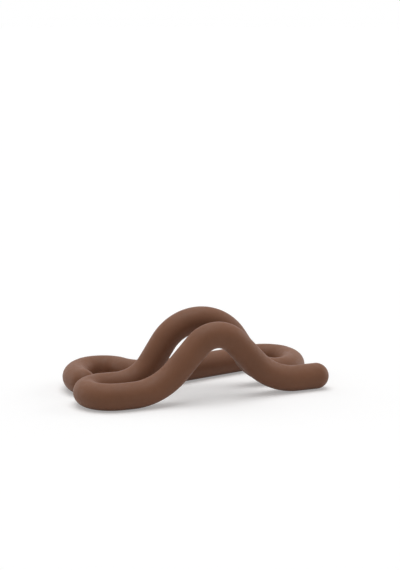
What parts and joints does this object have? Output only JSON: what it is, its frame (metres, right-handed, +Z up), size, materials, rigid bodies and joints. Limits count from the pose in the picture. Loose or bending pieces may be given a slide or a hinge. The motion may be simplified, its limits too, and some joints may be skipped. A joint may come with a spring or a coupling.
{
  "type": "desk phone stand",
  "caption": "Desk phone stand bent from one round, soft-skinned brown bar: a front hump and a taller rear hump hold a phone upright between them, and curled loops lie on the desk behind.",
  "frame": {"origin": "on the desk, under the middle of the stand's bounding box", "axes": "+X along the front strand towards its free end, +Y towards the back, +Z up"},
  "size_m": [0.167, 0.094, 0.0522],
  "materials": {
    "silicone_skin": "matte, soft-touch silicone"
  },
  "bodies": {
    "root": {"bent_bar": "silicone_skin"}
  },
  "joints": []
}
